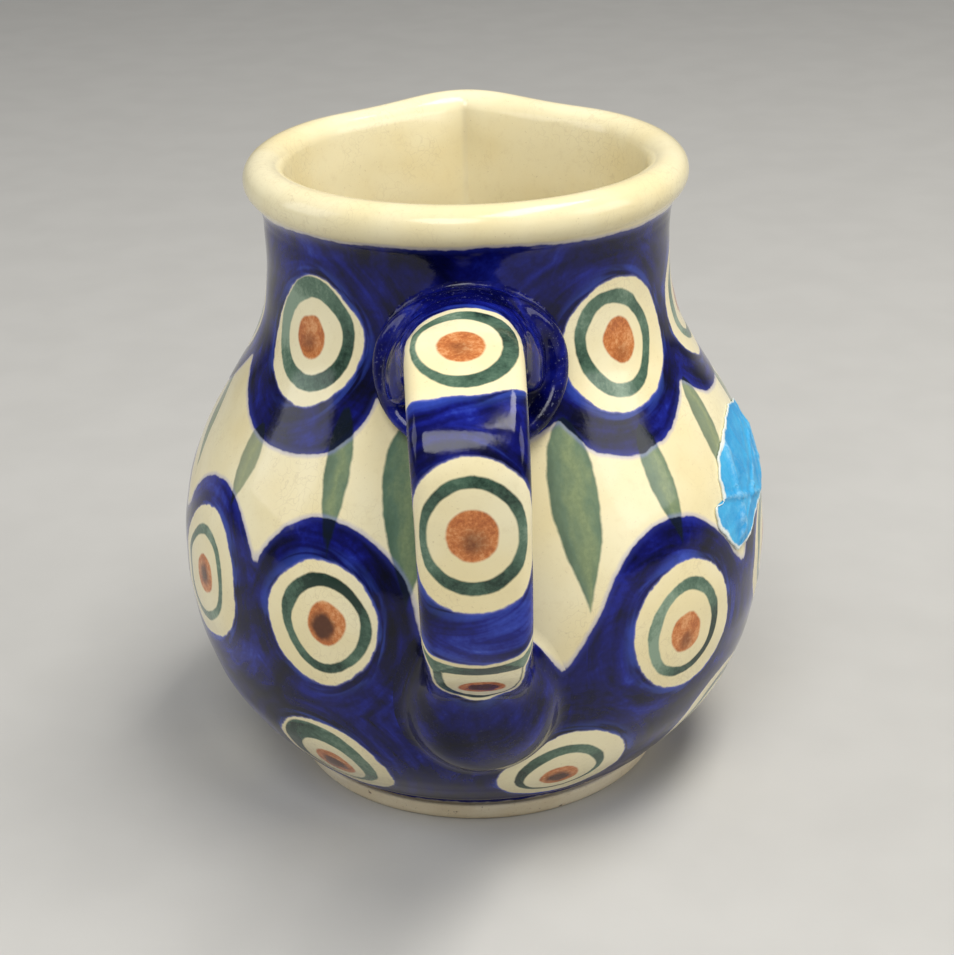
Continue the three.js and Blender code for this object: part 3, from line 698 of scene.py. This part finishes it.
def signed_to_wall():
    line = resample(np.vstack([wall, [(28.3, 92.0)]]), .5)
    d = polyline_distance(GRR.ravel(), GZZ.ravel(), line).reshape(GRR.shape)
    return np.where(GRR > np.interp(GZZ, line[:, 1], line[:, 0]), d, -d)


WALL = signed_to_wall()
path = catmull(STRAP_FACE, 14)
head = path[0] - path[1]; head /= np.linalg.norm(head)
tail = path[-1] - path[-2]; tail /= np.linalg.norm(tail)
lead = 10.0
path = resample(np.vstack([path[0] + head * lead, path, path[-1] + tail * 8]), .3)
path_s = np.concatenate([[0], np.cumsum(np.linalg.norm(np.diff(path, axis=0), axis=1))]) - lead
PATH_LEN = float(path_s[-1]) - 8.0
tan = np.gradient(path, axis=0)
tan /= np.linalg.norm(tan, axis=1)[:, None]
out_n = np.stack([-tan[:, 1], tan[:, 0]], -1)                # left of the travel direction: outwards
if out_n[len(path) // 2, 0] < 0:
    out_n = -out_n


def nearest_on_path(R, Z):
    q = np.stack([R.ravel(), Z.ravel()], -1)
    S, N = np.empty(len(q)), np.empty(len(q))
    a, b = path[:-1], path[1:]
    d = b - a
    dd = (d ** 2).sum(1)
    for k in range(0, len(q), 8000):
        p = q[k:k + 8000]
        t = np.clip(((p[:, None] - a) * d).sum(-1) / dd, 0, 1)
        c = a + t[..., None] * d
        dist = np.linalg.norm(p[:, None] - c, axis=-1)
        best = dist.argmin(1)
        rows_ = np.arange(len(p))
        S[k:k + 8000] = path_s[best] + t[rows_, best] * np.sqrt(dd[best])
        off = p - c[rows_, best]
        sign = np.sign((off * out_n[best]).sum(1))
        N[k:k + 8000] = dist[rows_, best] * np.where(sign == 0, 1, sign)
    return S.reshape(R.shape), N.reshape(R.shape)


PS, PN = nearest_on_path(GRR, GZZ)


def look(grid, R, Z):
    a = np.clip((R - gr[0]) / GR, 0, len(gr) - 1.001)
    b = np.clip((Z - gz[0]) / GR, 0, len(gz) - 1.001)
    i, j = a.astype(int), b.astype(int)
    s, t = a - i, b - j
    return (grid[i, j] * (1 - s) + grid[i + 1, j] * s) * (1 - t) + (grid[i, j + 1] * (1 - s) + grid[i + 1, j + 1] * s) * t


def smin(a, b, k):
    h = np.clip(.5 + .5 * (b - a) / k, 0, 1)
    return b * (1 - h) + a * h - k * h * (1 - h)


def smax(a, b, k):
    return -smin(-a, -b, k)


def round_box(qx, qy, rc):
    qx, qy = qx + rc, qy + rc
    return np.hypot(np.maximum(qx, 0), np.maximum(qy, 0)) + np.minimum(np.maximum(qx, qy), 0) - rc


def side_shift(s):
    return np.interp(s, [10, 24, 38, 52], [-.8, -.5, -.15, 0])


def fields_of(P):
    """x across, R away from the axis on the handle side, z up."""
    x, R, z = P[..., 0], P[..., 1], P[..., 2]
    rad = np.hypot(x, R)
    B = look(WALL, rad, z)
    s, n = look(PS, R, z), look(PN, R, z)
    share = np.clip(s / PATH_LEN, 0, 1)
    hw = table(STRAP_WIDTH, share) / 2
    th_ = table(STRAP_THICK, share)
    crown = np.interp(s, [0, 3, 9], [2.3, 1.5, .38]) * (x / 7) ** 2
    hw = hw + np.interp(s, [-3, -1, .5, 2, 4, 6.5], [2.95, 2.7, 2.1, 1.15, .4, 0])
    corner = np.interp(s, [-1, 2, 5, 11], [4.7, 4.2, 3.3, 1.9])
    strap = round_box(np.abs(x - side_shift(s)) - hw, np.abs(n + crown + th_ / 2) - th_ / 2, corner)
    ang = np.arctan2(x, R)
    w = z - COLLAR_Z - .2
    u, w = ang * 28.9, w * np.where(w > 0, 1.27, 1.17)
    rho = np.hypot(u, w)
    base = round_box(rho - 10.9, B - 1.5, .6)
    ring = np.hypot(rho - 10.95, (B - 1.35) * .95) - 1.35
    collar = smin(base, ring, .5)
    pu, pw = ang * 41.5 - .45, z - PAD_Z - .25
    q0 = np.sqrt((pu / 9.35) ** 2 + (pw / 10.7) ** 2 + (B / 5.3) ** 2)
    q1 = np.sqrt((pu / 9.35 ** 2) ** 2 + (pw / 10.7 ** 2) ** 2 + (B / 5.3 ** 2) ** 2)
    pad = q0 * (q0 - 1) / np.maximum(q1, 1e-4)
    return B, strap, collar, pad, s, n


def handle_field(P, part=None):
    B, strap, collar, pad, s, n = fields_of(P)
    z = P[..., 2]
    upper = smin(strap, collar, 1.1)
    low_w = smooth(46, 40, z)
    H = smin(upper, pad, 3.2)
    H = np.where(z > 50, upper, H)
    k = 1.1 + 1.7 * low_w
    F = smin(H, B + .02, k)
    if part is None:
        return F
    if part == "strap":
        hi = smooth(5.3, 4.7, B) * (z > 50)
        lo = smooth(.45, .0, strap_cut(P, B, strap, pad)) * (z <= 50)
        F = F + .05 * np.maximum(hi, lo)
        cut = np.where(z > 50, 4.0 - B, -(strap_cut(P, B, strap, pad) + .2))
    elif part == "collar":
        F = F + .05 * smooth(5.0, 5.6, B)
        cut = np.maximum(B - 6.6, 50 - z)
    else:
        c = strap_cut(P, B, strap, pad)
        F = F + .05 * smooth(.15, .6, c)
        cut = np.maximum(c - 1.5, z - 50)
    edge = H - (k + .35)
    S = np.maximum(np.maximum(F, -(B + .8)), np.maximum(cut, edge))
    return S


def strap_cut(P, B, strap, pad):
    """Zero where the strap's lower end leaves the pad, positive up the strap."""
    return np.minimum(pad - .9, B - 3.4)


def corner_groups():
    """For each pattern of inside corners of a cell: the group each inside corner belongs to, joined along cell edges."""
    group, total = -np.ones((256, 8), int), np.zeros(256, int)
    for code in range(1, 256):
        left = [k for k in range(8) if code >> k & 1]
        while left:
            todo = [left.pop(0)]
            while todo:
                k = todo.pop()
                group[code, k] = total[code]
                for bit in (1, 2, 4):
                    if k ^ bit in left:
                        left.remove(k ^ bit)
                        todo.append(k ^ bit)
            total[code] += 1
    return group, total


def surface_nets(f, lo, hi, h):
    """One vertex for each separate inside corner group of a cell, so that sheets that pass close stay apart."""
    n = [int(math.ceil((b - a) / h)) + 1 for a, b in zip(lo, hi)]
    axes = [lo[k] + h * np.arange(n[k]) for k in range(3)]
    V = np.empty(n)
    yy, zz = np.meshgrid(axes[1], axes[2], indexing="ij")
    for i, x in enumerate(axes[0]):
        V[i] = f(np.stack([np.full_like(yy, x), yy, zz], -1))
    V[0], V[-1], V[:, 0], V[:, -1], V[:, :, 0], V[:, :, -1] = [np.abs(q) + .1 for q in (V[0], V[-1], V[:, 0], V[:, -1], V[:, :, 0], V[:, :, -1])]
    neg = V < 0
    c = [(a, b, d) for a in (0, 1) for b in (0, 1) for d in (0, 1)]
    def corner(arr, o):
        return arr[o[0]:n[0] - 1 + o[0], o[1]:n[1] - 1 + o[1], o[2]:n[2] - 1 + o[2]]
    count = sum(corner(neg, o).astype(np.int8) for o in c)
    active = (count > 0) & (count < 8)
    idx = np.argwhere(active)
    group, total = corner_groups()
    code = sum(corner(neg, o).astype(int) << (o[0] * 4 + o[1] * 2 + o[2]) for o in c)
    cell_code = code[active]
    first = np.concatenate([[0], np.cumsum(total[cell_code])])
    number = -np.ones(active.shape, int)
    number[active] = first[:-1]
    acc = np.zeros((first[-1], 3)); cnt = np.zeros(first[-1])
    val = {o: V[idx[:, 0] + o[0], idx[:, 1] + o[1], idx[:, 2] + o[2]] for o in c}
    for a in c:
        for ax in range(3):
            if a[ax]:
                continue
            b = list(a); b[ax] = 1; b = tuple(b)
            fa, fb = val[a], val[b]
            m = (fa < 0) != (fb < 0)
            t = fa / np.where(m, fa - fb, 1)
            p = np.tile(np.array(a, float), (len(idx), 1)); p[:, ax] += t
            inner_corner = np.where(fa < 0, a[0] * 4 + a[1] * 2 + a[2], b[0] * 4 + b[1] * 2 + b[2])
            own = (first[:-1] + group[cell_code, inner_corner])[m]
            np.add.at(acc, own, p[m] + idx[m]); np.add.at(cnt, own, 1)
    pts = acc / cnt[:, None] * h + np.array(lo)
    quads = []
    for ax in range(3):
        a = [slice(None)] * 3; b = [slice(None)] * 3
        a[ax], b[ax] = slice(0, n[ax] - 1), slice(1, n[ax])
        A, Bn = neg[tuple(a)], neg[tuple(b)]
        e = np.argwhere(A != Bn)
        o1, o2 = [(1, 2), (2, 0), (0, 1)][ax]
        ok = (e[:, o1] > 0) & (e[:, o2] > 0) & (e[:, o1] < n[o1] - 1) & (e[:, o2] < n[o2] - 1)
        e = e[ok]
        flip = A[e[:, 0], e[:, 1], e[:, 2]]
        q = []
        for d1, d2 in ((1, 1), (0, 1), (0, 0), (1, 0)):
            k = e.copy(); k[:, o1] -= d1; k[:, o2] -= d2
            weight = (4, 2, 1)
            inner_corner = np.where(flip, 0, weight[ax]) + d1 * weight[o1] + d2 * weight[o2]
            q.append(number[k[:, 0], k[:, 1], k[:, 2]] + group[code[k[:, 0], k[:, 1], k[:, 2]], inner_corner])
        q = np.stack(q, -1)
        q[~flip] = q[~flip][:, ::-1]
        quads.append(q)
    quads = np.vstack(quads)
    for _ in range(3):
        v0 = f(pts)
        g = np.stack([f(pts + np.eye(3)[k] * .02) - f(pts - np.eye(3)[k] * .02) for k in range(3)], -1) / .04
        gg = (g ** 2).sum(-1)
        step = -(v0 / np.maximum(gg, .2))[:, None] * g
        length = np.linalg.norm(step, axis=1)
        pts = pts + step * np.minimum(1, .25 * h / np.maximum(length, 1e-9))[:, None]
    return pts, quads


def biggest(pts, quads):
    """Keeps the largest connected shell."""
    parent = np.arange(len(pts))
    while True:
        m = parent[quads].min(1)
        new = parent.copy()
        for k in range(4):
            np.minimum.at(new, quads[:, k], m)
        new = new[new]
        if (new == parent).all():
            break
        parent = new
    labels, counts = np.unique(parent, return_counts=True)
    keep = parent == labels[counts.argmax()]
    remap = np.cumsum(keep) - 1
    return pts[keep], remap[quads[keep[quads].all(1)]]


# Along the strap, from its root: three ringed dots with cobalt bands between.
S0 = 2.5
DOTS = [(0.0, 19.65), (27.25, 46.9), (54.5, 74.15)]


def strap_paint(x, s, n, share):
    t = s - S0
    x = x - side_shift(s)
    xx = x + np.sign(x) * np.maximum(0, -n - .4) * .85      # paint runs on round the edges
    far = np.full(x.shape, 9.0)
    o = {k: far.copy() for k in FIELDS}
    for k in ("dark", "leafx", "leafk"):
        o[k][:] = 0
    for num, (a, b) in enumerate(DOTS):
        c, hl = (a + b) / 2, (b - a) / 2
        dt = t - c
        if num == 0:
            # rounded at the root, and cut almost straight at its lower end
            low = t - (19.75 - .022 * np.clip(xx, -9, 9) ** 2 * (xx > 0) - .05 * (xx + 7) + .12 * np.sin(xx * 1.1))
            w = np.where(t < 9.0, ring_d(xx, t - 9.0, 7.9, 9.1), smax(low, np.abs(xx) - 7.9 - 2.8 * smooth(9, 15, t), 2.0))
            g1, g2 = ring_d(xx - .05, t - 9.6, 6.75, 8.55), ring_d(xx + .55, t - 9.75, 5.2, 6.25)
            ru, core, dk = ring_d(xx + .35, t - 10.1, 2.95, 3.3), np.hypot(xx + .3, t - 10.5), .38
        elif num == 1:
            w = ring_d(xx, dt, 8.5, hl)
            g1, g2 = ring_d(xx, t - 37.0, 6.6, 7.6), ring_d(xx + .1, t - 36.9, 5.3, 5.95)
            ru, core, dk = ring_d(xx + .1, t - 36.9, 3.1, 3.35), np.hypot(xx - .1, t - 37.6), .55
        else:
            # a tongue: sagging upper edges, U-shaped lower end where the strap dives into the pad
            tongue = lambda a_, b_, cx: np.where(t > 57, ring_d(xx - cx, t - 57, a_, b_), np.abs(xx - cx) - a_ - .5 * (57 - t))
            sag = t + .068 * xx ** 2
            w = np.maximum(tongue(5.95, 14.6, .0), 55.5 - sag)
            g1 = np.maximum(tongue(5.5, 13.9, .0), 56.2 - sag)
            g2 = np.maximum(tongue(4.85, 12.9, .45), 58.2 - t - .05 * xx ** 2)
            ru, core, dk = ring_d(xx - .45, t - 64.1, 2.9, 3.1), np.hypot(xx - .5, t - 64.2), 1.35
        o["eye"] = np.minimum(o["eye"], w)
        o["gout"] = np.minimum(o["gout"], g1)
        o["gin"] = np.minimum(o["gin"], g2)
        o["rust"] = np.minimum(o["rust"], ru)
        closer = core < o["core"]
        o["core"] = np.where(closer, core, o["core"])
        o["dark"] = np.where(closer, dk, o["dark"])
    # the inner face and the back edges are plain cobalt
    thick = table(STRAP_THICK, share)
    back = (-n) - thick * .62
    for k in ("eye", "gout", "gin", "rust"):
        o[k] = np.maximum(o[k], back)
    o["blue"] = np.full(x.shape, -5.0)
    return o


def ring_d(u, v, a, b):
    k0 = np.sqrt((u / a) ** 2 + (v / b) ** 2)
    k1 = np.sqrt((u / a ** 2) ** 2 + (v / b ** 2) ** 2)
    return k0 * (k0 - 1) / np.maximum(k1, 1e-3)


def handle_piece(name, part, lo, hi, mat, nodes, h=.42):
    pts, quads = surface_nets(lambda P: handle_field(P, part), lo, hi, h)
    pts, quads = biggest(pts, quads)
    B, strap, collar, pad, s, n = fields_of(pts)
    x, R, z = pts.T
    near_wall = smooth(.25, 1.2, B)
    pp = pot_paint(np.degrees(np.arctan2(x, R)), z)
    if part == "strap":
        own = strap_paint(x, s, n, np.clip(s / PATH_LEN, 0, 1))
    else:
        own = {k: np.full(len(x), 9.0) for k in FIELDS}
        own["blue"] = np.full(len(x), -5.0)
        for k in ("dark", "leafx", "leafk"):
            own[k] = np.zeros(len(x))
        # what is painted on the strap runs a little way onto the flare
        sp = strap_paint(x, s, n, np.clip(s / PATH_LEN, 0, 1))
        for k in ("eye", "gout", "gin", "rust"):
            own[k] = np.maximum(sp[k], strap - .35 if part == "collar" else strap - .12)
        own["core"], own["dark"] = sp["core"], sp["dark"]
    f = {k: pp[k] * (1 - near_wall) + own[k] * near_wall for k in FIELDS}
    verts = np.stack([x, -R, z], -1)
    ob = make_object(name, verts, quads[:, ::-1], f, mat)
    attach(ob, "root")
    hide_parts(*nodes)
    return ob


strap_ob = handle_piece("strap", "strap", (-12.2, 28, 24), (12.2, 64, 84), glaze("handle_glaze_paint", seed=.37), ["strap_handle"])
# the collar gets strong pitting, whose lighter speckles are partly painted glints
collar_ob = handle_piece("collar", "collar", (-14.8, 24, 54), (14.8, 37.5, 87), glaze("collar_glaze_paint", pitting_and_glint=.55, seed=.61), ["upper_handle_collar"])
# the pad's cobalt is set darker than the strap's as painted shade
pad_ob = handle_piece("pad", "pad", (-13.6, 32, 11), (13.6, 50.5, 43), glaze("pad_glaze_paint", pitting_and_glint=.12, seed=.83, painted_shade=.03), ["lower_handle_pad"])

# ------------------------------------------------------------------ torn paper label
LABEL = [(80.0, 55.0), (85.0, 53.9), (90.0, 53.2), (93.5, 50.4), (92.5, 46.0), (87.0, 43.4), (80.0, 42.5), (72.1, 42.2), (68.5, 41.6), (65.2, 40.0), (62.0, 39.9),
         (58.5, 39.7), (55.5, 42.0), (53.3, 44.1), (52.9, 45.6), (53.4, 47.0), (56.7, 47.0), (57.0, 47.8), (58.1, 50.1), (60.5, 52.2), (66.1, 53.6), (73.0, 54.7)]
poly = np.array([(t * U0, v_at(z)) for t, z in LABEL])
closed = resample(np.vstack([poly, poly[:1]]), .35)[:-1]
normal_ = np.roll(closed, -1, 0) - np.roll(closed, 1, 0)
normal_ = np.stack([normal_[:, 1], -normal_[:, 0]], -1) / np.linalg.norm(normal_, axis=1)[:, None]
t_ = np.arange(len(closed)) * .35
rag = .10 * np.sin(t_ * 1.9) * np.sin(t_ * .37 + 1) + .05 * np.sin(t_ * 4.3 + 2) + .03 * np.sin(t_ * 7.7)
closed = closed + normal_ * rag[:, None]
centre = np.array([74.0 * U0, float(v_at(48.4))])
rings = np.concatenate([np.linspace(0, .9, 30)[1:], [.93, .96, .98, 1.0]])
lines = []
for _ in range(11):
    p = rng.uniform([-8, -6], [8, 6]) + centre
    a = rng.normal(1.25, .45)
    lines.append((p, np.array([-math.sin(a), math.cos(a)]), rng.uniform(.5, 1.1), rng.uniform(.10, .30)))


def label_height(q):
    h = np.zeros(len(q))
    for p, nrm, width, amp in lines:
        d = np.abs((q - p) @ nrm)
        h += amp * np.clip(1 - d / width, 0, 1)
    return h


lines.append((np.array([61.0 * U0, float(v_at(46.7))]), np.array([.36, .93]), .6, .32))
top = [centre] + [centre + t * (p - centre) for t in rings for p in closed]
top = np.array(top)
ridge = label_height(top)
edge_d = np.concatenate([[9], np.repeat(1 - rings, len(closed)) * np.tile(np.linalg.norm(closed - centre, axis=1), len(rings))])
lift = .16 + ridge * smooth(0, 1.2, edge_d) + .10 * smooth(.9, 0, edge_d)


def on_pot(q, up):
    th_ = np.radians(q[:, 0] / U0)
    s_ = np.clip(q[:, 1], 0, wall_s[-1])
    r_, z_ = np.interp(s_, wall_s, wall[:, 0]), np.interp(s_, wall_s, wall[:, 1])
    dr, dz = np.gradient(wall[:, 0], wall_s), np.gradient(wall[:, 1], wall_s)
    nr, nz = np.interp(s_, wall_s, dz), -np.interp(s_, wall_s, dr)
    r2, z2 = r_ + nr * up, z_ + nz * up
    return np.stack([r2 * np.sin(th_), -r2 * np.cos(th_), z2], -1)


upper_v = on_pot(top, lift + .05)
lower_v = on_pot(top, np.full(len(top), -.02) + .06 * smooth(.9, 0, edge_d))
m_ = len(closed)
nt = len(top)
lf = []
for c in range(m_):
    d = (c + 1) % m_
    lf.append([0, 1 + c, 1 + d])
    lf.append([nt, nt + 1 + d, nt + 1 + c])
    for k in range(len(rings) - 1):
        a, b = 1 + k * m_, 1 + (k + 1) * m_
        lf.append([a + c, b + c, b + d, a + d])
        lf.append([nt + a + c, nt + a + d, nt + b + d, nt + b + c])
    e = 1 + (len(rings) - 1) * m_
    lf.append([e + c, nt + e + c, nt + e + d, e + d])
lv = np.vstack([upper_v, lower_v])
left_edge = smooth(4, -6, (top - centre)[:, 0]) * .75 + smooth(1, -5, (top - centre)[:, 1]) * .35
tear = edge_d - .5 * left_edge * (.6 + .4 * np.sin(top[:, 1] * 1.3))
label = make_object("label", lv, lf, {"ridge": np.tile(ridge / .3, 2), "tear": np.tile(tear, 2)}, paper("label_torn_paper"))
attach(label, "root")
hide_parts("paper_label")

for ob in (pot, foot, strap_ob, collar_ob, pad_ob, label):
    vol = 0.0
    me = ob.data
    co = np.zeros(len(me.vertices) * 3); me.vertices.foreach_get("co", co); co = co.reshape(-1, 3)
    me.calc_loop_triangles()
    tri = np.zeros(len(me.loop_triangles) * 3, int); me.loop_triangles.foreach_get("vertices", tri); tri = tri.reshape(-1, 3)
    vol = np.einsum("ij,ij->i", co[tri[:, 0]], np.cross(co[tri[:, 1]], co[tri[:, 2]])).sum() / 6
    if vol < 0:
        me.flip_normals()
    print("piece", ob.name, "verts", len(co), "tris", len(tri), "volume mm3 %.1f" % (vol * 1e9))

# ------------------------------------------------------------------ floor, light, camera
floor_mesh = bpy.data.meshes.new("floor")
fs = 3.0
nfl = 24
gx = np.linspace(-fs, fs, nfl + 1)
fvs = [(x, y, DZ * MM) for y in gx for x in gx]
ffs = [[a * (nfl + 1) + b, a * (nfl + 1) + b + 1, (a + 1) * (nfl + 1) + b + 1, (a + 1) * (nfl + 1) + b] for a in range(nfl) for b in range(nfl)]
floor_mesh.from_pydata(fvs, [], ffs)
floor = bpy.data.objects.new("floor", floor_mesh)
scene.collection.objects.link(floor)
mf = Nodes("floor_plain")
fc = mf.mix(mf.ramp(mf.noise(60, 2, .5), .3, .7), lin(193, 192, 188), lin(196, 195, 191))
floor_mesh.materials.append(mf.finish(fc, .75, mf.bump(mf.noise(900, 3, .6), .0001, .2)))

world = bpy.data.worlds.new("studio")
world.use_nodes = True
bg = world.node_tree.nodes["Background"]
bg.inputs[0].default_value = (.90, .90, .91, 1)
bg.inputs[1].default_value = .20
scene.world = world
centre_w = Vector((AX * MM, AY * MM, .045))


def area(name, where, size, power, color=(1, 1, 1), target=centre_w, size_y=None):
    ld = bpy.data.lights.new(name, "AREA")
    ld.shape = "RECTANGLE"
    ld.size = size
    ld.size_y = size_y or size
    ld.energy = power
    ld.color = color
    lo = bpy.data.objects.new(name, ld)
    scene.collection.objects.link(lo)
    lo.location = Vector((AX * MM, AY * MM, 0)) + Vector(where)
    lo.rotation_euler = (target - lo.location).to_track_quat("-Z", "Y").to_euler()
    return lo


area("key", (.22, -.06, .76), .60, 4.3, (1, .97, .92), size_y=.22)
area("front_fill", (-.14, -.64, .82), .50, 4.2, (.98, .985, 1)).data.shape = "DISK"
area("right_fill", (.80, -.22, .44), .44, 1.9, (1, .98, .95))
area("left_fill", (-.84, -.02, .40), .46, 1.5, (.96, .975, 1))

cam_data = bpy.data.cameras.new("camera")
cam_data.sensor_width = 36.0
cam_data.lens = 2009.17 / 955 * 36.0
cam_data.clip_start = .01
cam_data.clip_end = 20
cam = bpy.data.objects.new("camera", cam_data)
scene.collection.objects.link(cam)
fw = Vector((.00187929, .91288964, -.40820213))
rt = Vector((.99969182, -.01181956, -.02183047))
up = Vector((.02475358, .4080353, .91263051))
m4 = Matrix(((rt.x, up.x, -fw.x, 0), (rt.y, up.y, -fw.y, 0), (rt.z, up.z, -fw.z, 0), (0, 0, 0, 1)))
m4.translation = Vector((AX * MM, AY * MM - .270, .16242 + DZ * MM))
cam.matrix_world = m4
scene.camera = cam
scene.view_settings.view_transform = "Standard"
scene.view_settings.look = "None"
